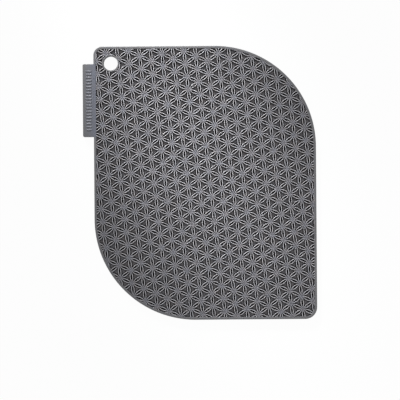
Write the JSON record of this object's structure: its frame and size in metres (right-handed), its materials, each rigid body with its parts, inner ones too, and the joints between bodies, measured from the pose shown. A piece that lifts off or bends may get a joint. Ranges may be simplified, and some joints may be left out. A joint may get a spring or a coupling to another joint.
{
  "type": "silicone pot holder",
  "caption": "Leaf-outlined flat silicone pot holder and trivet with a petal rosette relief, a smooth rim, a hanging eyelet in one corner and a plain tab on the side.",
  "frame": {"origin": "middle of the mat's flat back face, without the tab", "axes": "+Z out of the relief side, +Y along the mat towards the eyelet end, +X away from the tab"},
  "size_m": [0.1888, 0.222, 0.0045],
  "materials": {
    "charcoal_silicone": "matte moulded silicone",
    "tab_silicone": "satin moulded silicone"
  },
  "bodies": {
    "root": {"base_sheet": "charcoal_silicone", "rosette_relief": "charcoal_silicone", "border_rim": "charcoal_silicone", "hanging_eyelet": "charcoal_silicone", "label_tab": "tab_silicone"}
  },
  "joints": []
}
